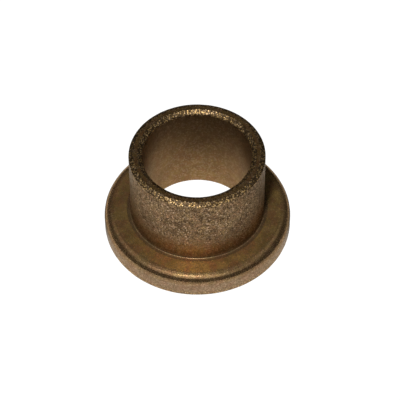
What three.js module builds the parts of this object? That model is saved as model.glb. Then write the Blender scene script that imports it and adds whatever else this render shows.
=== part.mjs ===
// A flanged sleeve bushing: one piece of pressed and sintered, oil-filled bronze.
// Units are millimetres. +Z runs along the bore, from the flange's outer face towards the
// sleeve's free end, and the origin is the centre of the flange's outer face.
import * as THREE from "three";

// Driving dimensions: a 1 in bore, 1 1/4 in sleeve, 1 3/4 in flange, 1 in long, 1/4 in flange.
const BORE_DIAMETER = 25.4;
const SLEEVE_DIAMETER = 31.75;
const FLANGE_DIAMETER = 44.45;
const OVERALL_LENGTH = 25.4;
const FLANGE_THICKNESS = 6.35;

// Edge breaks. A chamfer is given as its width along the radius and its depth along the axis.
const NOSE_BORE_CHAMFER = { width: 1.0, depth: 0.7 };
const NOSE_OUTER_CHAMFER = { width: 1.05, depth: 0.65 };
const FLANGE_BORE_CHAMFER = { width: 0.9, depth: 0.9 };
const FLANGE_TOP_ROUND = 2.6;
const FLANGE_BOTTOM_ROUND = 0.9;
const SHOULDER_FILLET = 0.4;

// How finely round shapes are faceted.
const SEGMENTS_AROUND = 96;
const ARC_DIVISIONS = 3; // each quarter round has twice this many straight steps

const RIGHT_ANGLE = Math.PI / 2;

// The cross-section, with x as the distance from the axis and y as the height along it.
// It runs counter-clockwise: out along the flange's face, up its edge, in along the shoulder,
// up the sleeve, over the nose and back down the bore.
function crossSection() {
  const bore = BORE_DIAMETER / 2;
  const sleeve = SLEEVE_DIAMETER / 2;
  const flange = FLANGE_DIAMETER / 2;
  const nose = OVERALL_LENGTH;
  const shoulder = FLANGE_THICKNESS;

  const outline = new THREE.Path();
  outline.moveTo(bore + FLANGE_BORE_CHAMFER.width, 0);
  outline.lineTo(flange - FLANGE_BOTTOM_ROUND, 0);
  outline.absarc(
    flange - FLANGE_BOTTOM_ROUND,
    FLANGE_BOTTOM_ROUND,
    FLANGE_BOTTOM_ROUND,
    -RIGHT_ANGLE,
    0,
    false,
  );
  outline.lineTo(flange, shoulder - FLANGE_TOP_ROUND);
  outline.absarc(
    flange - FLANGE_TOP_ROUND,
    shoulder - FLANGE_TOP_ROUND,
    FLANGE_TOP_ROUND,
    0,
    RIGHT_ANGLE,
    false,
  );
  outline.lineTo(sleeve + SHOULDER_FILLET, shoulder);
  outline.absarc(
    sleeve + SHOULDER_FILLET,
    shoulder + SHOULDER_FILLET,
    SHOULDER_FILLET,
    -RIGHT_ANGLE,
    -2 * RIGHT_ANGLE,
    true,
  );
  outline.lineTo(sleeve, nose - NOSE_OUTER_CHAMFER.depth);
  outline.lineTo(sleeve - NOSE_OUTER_CHAMFER.width, nose);
  outline.lineTo(bore + NOSE_BORE_CHAMFER.width, nose);
  outline.lineTo(bore, nose - NOSE_BORE_CHAMFER.depth);
  outline.lineTo(bore, FLANGE_BORE_CHAMFER.depth);
  outline.lineTo(bore + FLANGE_BORE_CHAMFER.width, 0);
  return outline.getPoints(ARC_DIVISIONS);
}

// The whole bushing is one turned shape. A lathe turns about Y, so it is tipped up onto Z.
function bushing() {
  const sinteredBronze = new THREE.MeshStandardMaterial({
    color: 0x7a6245,
    metalness: 0.9,
    roughness: 0.45,
  });
  const body = new THREE.Mesh(
    new THREE.LatheGeometry(crossSection(), SEGMENTS_AROUND),
    sinteredBronze,
  );
  body.name = "flanged_sleeve_bushing";
  body.rotation.x = RIGHT_ANGLE;
  return body;
}

const part = new THREE.Group();
part.add(bushing());

export default part;
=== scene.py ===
"""A flanged sleeve bushing of pressed and sintered, oil-filled bronze, in a plain white studio.

The bushing is one round piece. Its mesh is turned from the cross-section below, with the small
unevenness of a pressed part in the mesh itself and the sinter grain in the material. It stands on
a pale floor, which gives it light and reflections but isn't seen by the camera.
Lengths are metres, +Z runs along the bore and the flange's outer face is at z = 0.
"""

import math

import bmesh
import bpy
import numpy as np
from mathutils import Matrix, Vector, noise


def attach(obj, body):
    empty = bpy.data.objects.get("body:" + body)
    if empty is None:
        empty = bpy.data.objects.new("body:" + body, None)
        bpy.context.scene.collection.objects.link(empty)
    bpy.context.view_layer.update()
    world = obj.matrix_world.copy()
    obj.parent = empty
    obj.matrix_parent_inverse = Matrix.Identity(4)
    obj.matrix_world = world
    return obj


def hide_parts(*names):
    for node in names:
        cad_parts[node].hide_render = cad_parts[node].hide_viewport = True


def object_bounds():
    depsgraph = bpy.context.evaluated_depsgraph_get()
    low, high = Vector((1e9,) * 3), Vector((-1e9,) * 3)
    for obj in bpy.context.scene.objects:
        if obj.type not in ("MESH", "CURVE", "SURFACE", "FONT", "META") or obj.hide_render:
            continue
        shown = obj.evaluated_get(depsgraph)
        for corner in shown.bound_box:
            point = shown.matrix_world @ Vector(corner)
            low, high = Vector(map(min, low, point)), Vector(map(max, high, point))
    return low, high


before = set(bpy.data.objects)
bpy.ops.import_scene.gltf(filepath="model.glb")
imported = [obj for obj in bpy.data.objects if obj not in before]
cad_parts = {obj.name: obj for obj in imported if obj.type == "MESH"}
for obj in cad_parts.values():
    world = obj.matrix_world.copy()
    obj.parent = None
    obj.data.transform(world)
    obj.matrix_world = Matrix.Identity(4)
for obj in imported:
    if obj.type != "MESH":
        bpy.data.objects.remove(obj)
cad_low, cad_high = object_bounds()

MM = 0.001

# The bushing's own dimensions. The flange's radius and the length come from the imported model.
FLANGE_RADIUS = cad_high.x
LENGTH = cad_high.z
BORE_RADIUS = 12.7 * MM
SLEEVE_RADIUS = 15.875 * MM
FLANGE_THICKNESS = 6.35 * MM

# Edge breaks. A chamfer is given as its width along the radius and its depth along the axis.
NOSE_BORE_CHAMFER = (1.00 * MM, 0.70 * MM)
NOSE_OUTER_CHAMFER = (1.05 * MM, 0.65 * MM)
FLANGE_BORE_CHAMFER = (0.90 * MM, 0.90 * MM)
FLANGE_TOP_ROUND = 2.6 * MM
FLANGE_BOTTOM_ROUND = 0.9 * MM
SHOULDER_FILLET = 0.35 * MM
CORNER_ROUND = 0.14 * MM

# The punch leaves a low step round the foot of the sleeve.
PUNCH_STEP_RADIUS = 16.75 * MM
PUNCH_STEP_HEIGHT = 0.05 * MM
PUNCH_STEP_SLOPE = 0.12 * MM
PUNCH_STEP_ROUND = 0.10 * MM

# Mesh density.
SEGMENTS_AROUND = 360
STRAIGHT_STEP = 0.32 * MM
ARC_STEP = math.radians(15)

# What the material reads at each point of the cross-section: how worn the edge is, how open the
# pores are, how rubbed the brown oil film is, and how much the press tool has burnished the skin,
# which in the bore also holds painted shade.
SURFACE_VALUES = ("edge_wear", "open_pores", "rubbed", "burnish_and_shade")
UNDERSIDE = (0.0, 0.4, 0.8, 0.60)
FOOT_EDGE = (0.4, 0.4, 0.8, 0.50)
SIDE = (0.0, 0.4, 1.0, 0.56)
FLANGE_EDGE = (0.10, 0.2, 0.60, 0.28)
SHOULDER = (0.0, 0.30, 0.05, 0.93)
SHOULDER_INNER = (0.0, 0.30, 0.05, 0.90)
SLEEVE_FOOT = (0.1, 0.1, 0.7, 0.70)
SLEEVE_BOTTOM = (0.0, 0.3, 0.75, 0.25)
SLEEVE_LOW = (0.0, 0.4, 0.75, 0.33)
SLEEVE_WALL = (0.0, 1.0, 0.65, 0.61)
RIM_EDGE = (1.0, 0.6, 0.4, 0.30)
RIM_FACE = (0.0, 0.5, 0.0, 0.36)
# The bore's burnish value steps up from the mouth to the foot: painted shade, darkest at the mouth,
# over the bore's dark oil film.
BORE_MOUTH = (0.0, 0.2, 0.0, 0.05)
BORE_MIDDLE = (0.0, 0.2, 0.0, 0.11)
BORE_LOW = (0.0, 0.25, 0.0, 0.165)
BORE_FOOT = (0.0, 0.25, 0.0, 0.19)

# A round wider than WIDE_ROUND takes on its neighbours' surface values towards its ends. The
# higher the power, the closer to that end of the round the change stays.
WIDE_ROUND = 1.5 * MM
FADE_POWER_FROM_PREVIOUS = 6
FADE_POWER_INTO_NEXT = 3


# ---------------------------------------------------------------- cross-section


def rounded_outline(corners):
    """A closed outline through corners (x, y, radius, zone), with each corner rounded.

    A zone is a tuple of surface values, as SURFACE_VALUES names them. Returns a list of points,
    each a tuple of x, y and the surface values there."""
    points = []
    count = len(corners)
    for i, (x, y, radius, zone) in enumerate(corners):
        if radius == 0:
            points.append((x, y, *zone))
            continue
        previous = corners[i - 1]
        following = corners[(i + 1) % count]
        here = Vector((x, y))
        to_previous = (Vector(previous[:2]) - here).normalized()
        to_next = (Vector(following[:2]) - here).normalized()
        half_angle = to_previous.angle(to_next) / 2
        turn = math.pi - 2 * half_angle
        reach = radius / math.tan(half_angle)
        centre = here + (to_previous + to_next).normalized() * radius / math.sin(half_angle)
        start = here + to_previous * reach - centre
        side = 1 if to_previous.x * to_next.y - to_previous.y * to_next.x < 0 else -1
        steps = max(2, math.ceil(turn / ARC_STEP))
        for k in range(steps + 1):
            spoke = start.copy()
            spoke.rotate(Matrix.Rotation(side * turn * k / steps, 2))
            values = np.array(zone)
            if radius > WIDE_ROUND:
                from_previous = (1 - k / steps) ** FADE_POWER_FROM_PREVIOUS
                into_next = (k / steps) ** FADE_POWER_INTO_NEXT
                values = values * (1 - from_previous - into_next)
                values += np.array(previous[3]) * from_previous
                values += np.array(following[3]) * into_next
            points.append((centre.x + spoke.x, centre.y + spoke.y, *values))
    return points


def subdivided(points):
    """The same closed outline with its long straight stretches cut into short steps."""
    result = []
    for i, point in enumerate(points):
        here = np.array(point)
        ahead = np.array(points[(i + 1) % len(points)])
        steps = max(1, math.ceil(np.hypot(*(ahead - here)[:2]) / STRAIGHT_STEP))
        result.extend(here + (ahead - here) * k / steps for k in range(steps))
    return result


def cross_section():
    """The bushing's cut face, counter-clockwise, as (distance from the axis, height, values...)."""
    nose_bore_width, nose_bore_depth = NOSE_BORE_CHAMFER
    nose_outer_width, nose_outer_depth = NOSE_OUTER_CHAMFER
    foot_width, foot_depth = FLANGE_BORE_CHAMFER
    shoulder = FLANGE_THICKNESS
    step_foot = shoulder - PUNCH_STEP_HEIGHT
    underside_inner = BORE_RADIUS + foot_width
    underside_outer = FLANGE_RADIUS - FLANGE_BOTTOM_ROUND
    shoulder_outer = FLANGE_RADIUS - FLANGE_TOP_ROUND
    nose_outer = SLEEVE_RADIUS - nose_outer_width
    nose_inner = BORE_RADIUS + nose_bore_width
    wall_top = LENGTH - nose_outer_depth
    bore_top = LENGTH - nose_bore_depth

    # How far past an edge the surface is the plain surface beyond it.
    underside_blend = 1.5 * MM
    shoulder_blend = 0.5 * MM
    edge_blend = 0.25 * MM
    bore_blend = 0.5 * MM

    # Heights at which the flange's side, the sleeve's wall and the bore have their own zones.
    side_low = 0.3 * shoulder
    side_high = 0.5 * shoulder
    sleeve_bottom = shoulder + 0.8 * MM
    sleeve_low = shoulder + 0.15 * LENGTH
    sleeve_wall = shoulder + 0.30 * LENGTH
    bore_middle = 0.68 * LENGTH
    bore_low = 0.26 * LENGTH

    corners = [
        (underside_inner, 0, CORNER_ROUND, FOOT_EDGE),
        (underside_inner + underside_blend, 0, 0, UNDERSIDE),
        (underside_outer - underside_blend, 0, 0, UNDERSIDE),
        (FLANGE_RADIUS, 0, FLANGE_BOTTOM_ROUND, FOOT_EDGE),
        (FLANGE_RADIUS, side_low, 0, SIDE),
        (FLANGE_RADIUS, side_high, 0, SIDE),
        (FLANGE_RADIUS, shoulder, FLANGE_TOP_ROUND, FLANGE_EDGE),
        (shoulder_outer - shoulder_blend, shoulder, 0, SHOULDER),
        (PUNCH_STEP_RADIUS + PUNCH_STEP_SLOPE, shoulder, PUNCH_STEP_ROUND, SHOULDER_INNER),
        (PUNCH_STEP_RADIUS, step_foot, PUNCH_STEP_ROUND, SLEEVE_FOOT),
        (SLEEVE_RADIUS, step_foot, SHOULDER_FILLET, SLEEVE_FOOT),
        (SLEEVE_RADIUS, sleeve_bottom, 0, SLEEVE_BOTTOM),
        (SLEEVE_RADIUS, sleeve_low, 0, SLEEVE_LOW),
        (SLEEVE_RADIUS, sleeve_wall, 0, SLEEVE_WALL),
        (SLEEVE_RADIUS, wall_top - edge_blend, 0, SLEEVE_WALL),
        (SLEEVE_RADIUS, wall_top, CORNER_ROUND, RIM_EDGE),
        (nose_outer, LENGTH, CORNER_ROUND, RIM_EDGE),
        (nose_outer - edge_blend, LENGTH, 0, RIM_FACE),
        (nose_inner + edge_blend, LENGTH, 0, RIM_FACE),
        (nose_inner, LENGTH, CORNER_ROUND, RIM_EDGE),
        (BORE_RADIUS, bore_top, CORNER_ROUND, RIM_EDGE),
        (BORE_RADIUS, bore_top - bore_blend, 0, BORE_MOUTH),
        (BORE_RADIUS, bore_middle, 0, BORE_MIDDLE),
        (BORE_RADIUS, bore_low, 0, BORE_LOW),
        (BORE_RADIUS, foot_depth + bore_blend, 0, BORE_FOOT),
        (BORE_RADIUS, foot_depth, CORNER_ROUND, FOOT_EDGE),
    ]
    return subdivided(rounded_outline(corners))


# ---------------------------------------------------------------- mesh


def unevenness(place, size, height, offset=(0, 0, 0)):
    """Smooth random bumps of about one size, up to height either way. The offset picks them."""
    return noise.noise(place / size + Vector(offset)) * height


def relief(place):
    """How far a pressed and sintered surface stands proud of its nominal shape at a place."""
    waviness = unevenness(place, 7.0 * MM, 0.015 * MM)
    lumps = unevenness(place, 1.6 * MM, 0.009 * MM, offset=(7, 3, 1))
    grain = unevenness(place, 0.75 * MM, 0.009 * MM, offset=(2, 9, 5))
    return waviness + lumps + grain


def nick(place):
    """The depth of the small chips along a worn edge at a place."""
    threshold = 0.15
    depth = 0.03 * MM
    strength = unevenness(place, 0.9 * MM, 1.0, offset=(31, 17, 5))
    return max(0.0, strength - threshold) * depth


def bushing_mesh():
    """The cross-section turned round the axis, with its relief and its surface values."""
    outline = np.array(cross_section())
    places = outline[:, :2]
    values = dict(zip(SURFACE_VALUES, outline[:, 2:].T))
    ahead = np.roll(places, -1, axis=0) - places
    behind = places - np.roll(places, 1, axis=0)
    ahead /= np.linalg.norm(ahead, axis=1)[:, None]
    behind /= np.linalg.norm(behind, axis=1)[:, None]
    along = ahead + behind
    along /= np.linalg.norm(along, axis=1)[:, None]
    outward = np.stack([along[:, 1], -along[:, 0]], axis=1)

    vertices = []
    for j in range(SEGMENTS_AROUND):
        angle = 2 * math.pi * j / SEGMENTS_AROUND
        spoke = Vector((math.cos(angle), math.sin(angle), 0))
        for (r, z), (out_r, out_z), wear in zip(places, outward, values["edge_wear"]):
            place = spoke * r + Vector((0, 0, z))
            normal = spoke * out_r + Vector((0, 0, out_z))
            vertices.append(place + normal * (relief(place) - wear * nick(place)))

    ring = len(outline)
    faces = []
    for j in range(SEGMENTS_AROUND):
        this_ring = j * ring
        next_ring = (j + 1) % SEGMENTS_AROUND * ring
        for i in range(ring):
            k = (i + 1) % ring
            faces.append((this_ring + i, next_ring + i, next_ring + k, this_ring + k))

    mesh = bpy.data.meshes.new("bushing_body")
    mesh.from_pydata(vertices, [], faces)
    mesh.polygons.foreach_set("use_smooth", [True] * len(faces))
    for name, along_outline in values.items():
        attribute = mesh.attributes.new(name, "FLOAT", "POINT")
        attribute.data.foreach_set("value", np.tile(along_outline, SEGMENTS_AROUND))
    mesh.update()
    return mesh


# ---------------------------------------------------------------- materials


class Nodes:
    """A short way to write a node tree. A value given to an input is a number or a socket."""

    # The Mix node keeps its colour sockets after those for numbers and vectors.
    MIX_SHARE, MIX_COLOUR_A, MIX_COLOUR_B, MIX_RESULT = 0, 6, 7, 2

    def __init__(self, tree):
        self.tree = tree
        tree.nodes.clear()

    def add(self, kind, settings=None, **inputs):
        """Adds a node, sets it up and returns it. Input _0 is the first socket, _1 the second."""
        made = self.tree.nodes.new(kind)
        for name, value in (settings or {}).items():
            setattr(made, name, value)
        for name, value in inputs.items():
            socket = made.inputs[int(name[1:])] if name[1:].isdigit() else made.inputs[name]
            self.give(socket, value)
        return made

    def give(self, socket, value):
        if isinstance(value, bpy.types.NodeSocket):
            self.tree.links.new(value, socket)
        else:
            socket.default_value = value

    def math(self, operation, a, b=0.0):
        return self.add("ShaderNodeMath", {"operation": operation}, _0=a, _1=b).outputs[0]

    def remap(self, value, low, high, to_low=0.0, to_high=1.0, smooth=False):
        kind = "SMOOTHSTEP" if smooth else "LINEAR"
        made = self.add(
            "ShaderNodeMapRange", {"interpolation_type": kind, "clamp": True},
            _0=value, _1=low, _2=high, _3=to_low, _4=to_high,
        )
        return made.outputs[0]

    def mix(self, share, a, b):
        """Colour a where the share is 0 and colour b where it is 1."""
        made = self.add("ShaderNodeMix", {"data_type": "RGBA"})
        self.give(made.inputs[self.MIX_SHARE], share)
        self.give(made.inputs[self.MIX_COLOUR_A], a)
        self.give(made.inputs[self.MIX_COLOUR_B], b)
        return made.outputs[self.MIX_RESULT]

    def noise(self, place, size, detail=2.0, roughness=0.5, seed=0.0):
        made = self.add(
            "ShaderNodeTexNoise", {"noise_dimensions": "4D"},
            Vector=place, W=seed, Scale=1 / size, Detail=detail, Roughness=roughness,
        )
        return made.outputs[0]

    def cells(self, place, size):
        return self.add("ShaderNodeTexVoronoi", Vector=place, Scale=1 / size)

    def split(self, colour, channel):
        """One channel of a colour: 0, 1 or 2."""
        return self.add("ShaderNodeSeparateColor", Color=colour).outputs[channel]

    def pits(self, place, size, crowding, largest):
        """Round pits, one in each cell of a random foam, with a random radius up to largest.

        Where crowding is 0 the pits shrink to nothing."""
        soft_edge = 0.10
        cells = self.cells(place, size)
        chance = self.split(cells.outputs["Color"], 0)
        radius = self.remap(chance, 0.0, 1.0, 0.2 * largest, largest)
        radius = self.math("MULTIPLY", radius, crowding)
        depth = self.math("SUBTRACT", radius, cells.outputs["Distance"])
        return self.remap(depth, -soft_edge, soft_edge, smooth=True)


def colour(red, green, blue):
    return (red, green, blue, 1.0)


def sintered_bronze():
    """Oil-darkened sintered bronze: fine granules and dark pores under a patchy brown patina."""
    material = bpy.data.materials.new("sintered_bronze")
    material.use_nodes = True
    n = Nodes(material.node_tree)
    place = n.add("ShaderNodeTexCoord").outputs["Object"]
    edge, open_pores, rubbed, burnish_and_shade = (
        n.add("ShaderNodeAttribute", {"attribute_name": name}).outputs["Fac"]
        for name in SURFACE_VALUES
    )

    film = colour(0.105, 0.052, 0.0185)
    olive = colour(0.710, 0.440, 0.138)
    brown = colour(0.860, 0.530, 0.170)
    red_brown = colour(0.780, 0.375, 0.150)
    yellow_tan = colour(0.370, 0.268, 0.162)
    red_tan = colour(0.410, 0.250, 0.158)
    dark_facet = colour(0.060, 0.036, 0.014)
    bright_facet = colour(1.0, 0.64, 0.25)
    pale_facet = colour(0.620, 0.450, 0.300)
    dark_oil = colour(0.085, 0.052, 0.024)
    pore_depth = colour(0.060, 0.034, 0.015)

    grain = n.noise(place, 0.38 * MM, detail=2.0, seed=3.0)
    patches = n.noise(place, 3.2 * MM, detail=4.0, seed=1.0)
    redness = n.noise(place, 1.8 * MM, detail=4.0, seed=5.0)
    clusters = n.noise(place, 1.8 * MM, detail=2.0, seed=8.0)
    granules = n.cells(place, 0.40 * MM)
    facet = n.split(granules.outputs["Color"], 1)
    gap = n.remap(granules.outputs["Distance"], 0.28, 0.52, smooth=True)

    # Pores are small pits of mixed sizes, in loose clusters, and fewer where the skin is closed.
    crowding = n.math("MULTIPLY", open_pores, n.remap(clusters, 0.35, 0.65, 0.6, 1.15))
    large = n.pits(place, 0.54 * MM, crowding, 0.60)
    small = n.pits(place, 0.35 * MM, crowding, 0.54)
    pore = n.math("MAXIMUM", large, small)

    # The skin is olive and brown, or tan where it is rubbed, under an oil film that is darkest
    # where the press tool has burnished it least, and in the bore darkest at the mouth as painted
    # shade.
    oily = n.mix(n.remap(patches, 0.46, 0.54), olive, brown)
    oily = n.mix(n.remap(redness, 0.46, 0.58, 0.0, 0.80), oily, red_brown)
    tan = n.mix(n.remap(redness, 0.40, 0.60), yellow_tan, red_tan)
    skin = n.mix(burnish_and_shade, film, n.mix(rubbed, oily, tan))

    # On a worn edge the granules show bare metal, each with its own brightness.
    spark = n.remap(facet, 0.0, 0.55, 0.15, 1.0)
    spark = n.math("MULTIPLY", spark, n.math("SUBTRACT", 1.0, gap))
    metal = n.mix(edge, skin, n.mix(spark, dark_facet, bright_facet))

    # Dark oily clusters, a few pale granules, shade between the granules, and the pores.
    metal = n.mix(n.remap(clusters, 0.46, 0.58, 0.0, 0.20), metal, dark_oil)
    light_grain = n.math("MULTIPLY", n.remap(facet, 0.55, 0.75, 0.0, 0.56), open_pores)
    metal = n.mix(light_grain, metal, pale_facet)
    shade = n.remap(grain, 0.37, 0.56, 0.88, 0.0)
    shade = n.math("MAXIMUM", shade, n.math("MULTIPLY", gap, 0.8))
    shade = n.math("MULTIPLY", shade, n.remap(open_pores, 0.2, 1.0, 0.35, 1.0))
    metal = n.mix(shade, metal, dark_oil)
    base = n.mix(n.math("MULTIPLY", pore, 0.75), metal, pore_depth)

    # Smoother where the skin is closed or well burnished, rougher in pores and in the bore.
    rough = n.remap(grain, 0.40, 0.60, 0.36, 0.26)
    rough = n.math("MULTIPLY", rough, n.remap(open_pores, 0.0, 0.6, 0.78, 1.05))
    rough = n.math("MULTIPLY", rough, n.remap(burnish_and_shade, 0.70, 0.90, 1.0, 0.78))
    rough = n.math("ADD", rough, n.math("MULTIPLY", pore, 0.25))
    rough = n.math("ADD", rough, n.remap(burnish_and_shade, 0.05, 0.28, 0.24, 0.0))

    coarseness = n.remap(n.math("MAXIMUM", open_pores, edge), 0.0, 1.0, 0.2, 0.8)
    height = n.math("SUBTRACT", grain, n.math("MULTIPLY", granules.outputs["Distance"], 0.5))
    height = n.math("MULTIPLY", height, coarseness)
    height = n.math("SUBTRACT", height, n.math("MULTIPLY", pore, 0.25))
    bump = n.add("ShaderNodeBump", Height=height, Strength=0.8, Distance=0.08 * MM)

    shader = n.add(
        "ShaderNodeBsdfPrincipled",
        **{
            "Base Color": base,
            "Metallic": 0.90,
            "Specular Tint": colour(0.70, 0.62, 0.52),
            "Roughness": rough,
            "Normal": bump.outputs[0],
            "Coat Weight": 0.06,
            "Coat Roughness": 0.3,
            "Coat IOR": 1.45,
            "Coat Normal": bump.outputs[0],
        },
    )
    n.add("ShaderNodeOutputMaterial", Surface=shader.outputs[0])
    return material


def pale_floor():
    """A pale board, with a painted soft shadow close behind the flange and painted dimming far
    away.
    """
    material = bpy.data.materials.new("pale_floor")
    material.use_nodes = True
    n = Nodes(material.node_tree)
    pale = colour(0.73, 0.73, 0.73)
    dark = colour(0.03, 0.03, 0.03)
    place = n.add("ShaderNodeTexCoord").outputs["Object"]
    axes = n.add("ShaderNodeSeparateXYZ", Vector=place).outputs
    radius = n.add("ShaderNodeVectorMath", {"operation": "LENGTH"}, _0=place).outputs["Value"]

    # The painted shadow close to the flange is a ring round it, less its front half.
    outside_bore = n.remap(radius, 13 * MM, 15 * MM)
    close = n.remap(radius, 25 * MM, 33 * MM, 1.0, 0.0, smooth=True)
    back_half = n.remap(axes["Y"], -12 * MM, 6 * MM, smooth=True)
    shade = n.math("MULTIPLY", n.math("MULTIPLY", outside_bore, close), back_half)

    # Each pair is where the floor's painted dimming starts and where it is dark.
    far_left = n.remap(axes["X"], -40 * MM, -85 * MM, smooth=True)
    far_right = n.remap(axes["X"], 10 * MM, 75 * MM, smooth=True)
    far_front = n.remap(axes["Y"], -60 * MM, -100 * MM, smooth=True)
    far_back = n.remap(axes["Y"], 35 * MM, 80 * MM, smooth=True)

    dim = shade
    for far in (far_left, far_right, far_front, far_back):
        dim = n.math("MAXIMUM", dim, far)
    shader = n.add("ShaderNodeBsdfDiffuse", Color=n.mix(dim, pale, dark))
    n.add("ShaderNodeOutputMaterial", Surface=shader.outputs[0])
    return material


def white_paper():
    """Evenly lit white paper, for the backdrop."""
    material = bpy.data.materials.new("white_paper")
    material.use_nodes = True
    n = Nodes(material.node_tree)
    shader = n.add("ShaderNodeEmission", Color=colour(1.0, 1.0, 1.0), Strength=1.1)
    n.add("ShaderNodeOutputMaterial", Surface=shader.outputs[0])
    return material


# ---------------------------------------------------------------- object


def add_object(name, data):
    made = bpy.data.objects.new(name, data)
    bpy.context.scene.collection.objects.link(made)
    return made


bushing = add_object("bushing_body", bushing_mesh())
bushing.data.materials.append(sintered_bronze())
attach(bushing, "root")
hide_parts("flanged_sleeve_bushing")


# ---------------------------------------------------------------- stage

FLOOR_RADIUS = 1.5
FLOOR_SIDES = 96
FLOOR_GAP = 0.03 * MM
FLOOR_CUT_INNER = BORE_RADIUS + 1.0 * MM
FLOOR_CUT_OUTER = FLANGE_RADIUS - 0.9 * MM
BACKDROP_RADIUS = 3.0
LIGHT_DISTANCE = 1.0
PANEL_SOFT_EDGE = 6.0
ROOM_RADIANCE = 0.01


def direction(azimuth, elevation):
    """The unit vector towards a place in the studio; azimuth 0 is the camera's side, -Y."""
    a = math.radians(azimuth)
    e = math.radians(elevation)
    return Vector((math.sin(a) * math.cos(e), -math.cos(a) * math.cos(e), math.sin(e)))


def disc_light(name, azimuth, elevation, radius, power):
    """A round light in a direction from the bushing's middle, and turned to face it."""
    light = bpy.data.lights.new(name, "AREA")
    light.shape = "DISK"
    light.size = 2 * radius
    light.energy = power
    made = add_object(name, light)
    middle = Vector((0, 0, LENGTH / 2))
    away = direction(azimuth, elevation)
    made.location = middle + away * LIGHT_DISTANCE
    made.rotation_mode = "QUATERNION"
    made.rotation_quaternion = (-away).to_track_quat("-Z", "Y")
    return made


def floor_mesh():
    """A round board with a ring cut out of it.

    The flange stands over the cut and covers it, and light from below reaches the underside
    through it."""
    places = []
    for radius in (FLOOR_CUT_INNER, FLOOR_CUT_OUTER, FLOOR_RADIUS):
        for k in range(FLOOR_SIDES):
            angle = 2 * math.pi * k / FLOOR_SIDES
            places.append((radius * math.cos(angle), radius * math.sin(angle), 0))
    disc = [tuple(range(FLOOR_SIDES))]
    board = []
    for k in range(FLOOR_SIDES):
        ahead = (k + 1) % FLOOR_SIDES
        inner = FLOOR_SIDES
        outer = 2 * FLOOR_SIDES
        board.append((inner + k, outer + k, outer + ahead, inner + ahead))
    mesh = bpy.data.meshes.new("floor")
    mesh.from_pydata(places, [], disc + board)
    return mesh


def backdrop_mesh():
    """A closed ball round the whole studio, seen from inside."""
    shape = bmesh.new()
    bmesh.ops.create_icosphere(shape, subdivisions=4, radius=BACKDROP_RADIUS)
    mesh = bpy.data.meshes.new("backdrop")
    shape.to_mesh(mesh)
    shape.free()
    return mesh


# The floor lights the bushing and is mirrored in it, and the camera doesn't see it.
floor = add_object("floor", floor_mesh())
floor.location.z = cad_low.z - FLOOR_GAP
floor.data.materials.append(pale_floor())
floor.visible_camera = False

# The camera sees an even white backdrop all round, which gives the bushing no light.
backdrop = add_object("backdrop", backdrop_mesh())
backdrop.data.materials.append(white_paper())
for rays in ("diffuse", "glossy", "transmission", "volume_scatter", "shadow"):
    setattr(backdrop, "visible_" + rays, False)

# The board light lights the floor and the bushing, without a reflection of its own.
board_light = disc_light("board_light", azimuth=-17, elevation=60, radius=0.06, power=16.6)
board_light.visible_glossy = False

# The key light only gives the sharp highlights on the edges.
key_light = disc_light("key_light", azimuth=-10, elevation=67, radius=0.11, power=0.90)
key_light.visible_diffuse = False

# The back light softly lights the far side, and the under light the flange's outer face.
back_light = disc_light("back_light", azimuth=165, elevation=10, radius=0.06, power=2.6)
back_light.visible_glossy = False
under_light = disc_light("under_light", azimuth=-30, elevation=-60, radius=0.20, power=6.0)


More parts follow.
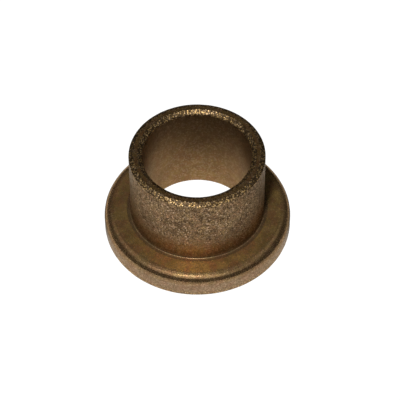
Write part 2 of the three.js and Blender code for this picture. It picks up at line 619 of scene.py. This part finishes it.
def soft_panel(w, azimuth, half_width, low, high, radiance):
    """How much light the sky sends from a soft-edged panel, with its bounds in degrees."""
    sky = w.add("ShaderNodeTexCoord").outputs["Generated"]
    x, y, z = w.add("ShaderNodeSeparateXYZ", Vector=sky).outputs
    towards = direction(azimuth, 0)
    level = w.math("SQRT", w.math("ADD", w.math("MULTIPLY", x, x), w.math("MULTIPLY", y, y)))
    along = w.math("ADD", w.math("MULTIPLY", x, towards.x), w.math("MULTIPLY", y, towards.y))
    turn = w.math("DIVIDE", along, w.math("MAXIMUM", level, 0.001))
    inside = math.cos(math.radians(half_width - PANEL_SOFT_EDGE))
    outside = math.cos(math.radians(half_width + PANEL_SOFT_EDGE))
    elevation = w.math("DEGREES", w.math("ARCSINE", z))
    above = w.remap(
        elevation, low - PANEL_SOFT_EDGE, low + PANEL_SOFT_EDGE, 0.0, radiance, smooth=True
    )
    below = w.remap(
        elevation, high - PANEL_SOFT_EDGE, high + PANEL_SOFT_EDGE, 1.0, 0.0, smooth=True
    )
    beside = w.remap(turn, outside, inside, smooth=True)
    return w.math("MULTIPLY", w.math("MULTIPLY", above, below), beside)


def studio_world():
    """A dark room with soft panels: two in front, one at each side and a weak one overhead."""
    world = bpy.data.worlds.new("studio")
    world.use_nodes = True
    w = Nodes(world.node_tree)
    panels = (
        soft_panel(w, azimuth=-16, half_width=54, low=50, high=72, radiance=1.5),
        soft_panel(w, azimuth=-4, half_width=70, low=42, high=54, radiance=0.75),
        soft_panel(w, azimuth=-100, half_width=36, low=40, high=62, radiance=0.42),
        soft_panel(w, azimuth=100, half_width=36, low=40, high=62, radiance=0.35),
        soft_panel(w, azimuth=0, half_width=174, low=72, high=100, radiance=0.2),
    )
    light = ROOM_RADIANCE
    for panel in panels:
        light = w.math("ADD", panel, light)
    background = w.add("ShaderNodeBackground", Color=colour(1.0, 1.0, 1.0), Strength=light)
    w.add("ShaderNodeOutputWorld", Surface=background.outputs[0])
    return world


bpy.context.scene.world = studio_world()
bpy.context.scene.view_settings.view_transform = "Standard"


# ---------------------------------------------------------------- camera

CAMERA_ELEVATION = math.radians(50.18)
CAMERA_ROLL = 0.0052
CAMERA_DISTANCE = 20.0 * FLANGE_RADIUS
CAMERA_AIM = Vector((0.0286, 0, 0.3804)) * FLANGE_RADIUS

camera = add_object("camera", bpy.data.cameras.new("camera"))
camera.data.sensor_width = 36.0
camera.data.lens = 168.3
camera.data.clip_start = 0.01
camera.data.clip_end = 10.0
back = Vector((0, -math.cos(CAMERA_ELEVATION), math.sin(CAMERA_ELEVATION)))
right = Vector((1, 0, 0))
up = back.cross(right)
turned_axes = Matrix(
    (
        right * math.cos(CAMERA_ROLL) - up * math.sin(CAMERA_ROLL),
        right * math.sin(CAMERA_ROLL) + up * math.cos(CAMERA_ROLL),
        back,
    )
).transposed()
camera_place = CAMERA_AIM + back * CAMERA_DISTANCE
camera.matrix_world = Matrix.Translation(camera_place) @ turned_axes.to_4x4()
bpy.context.scene.camera = camera
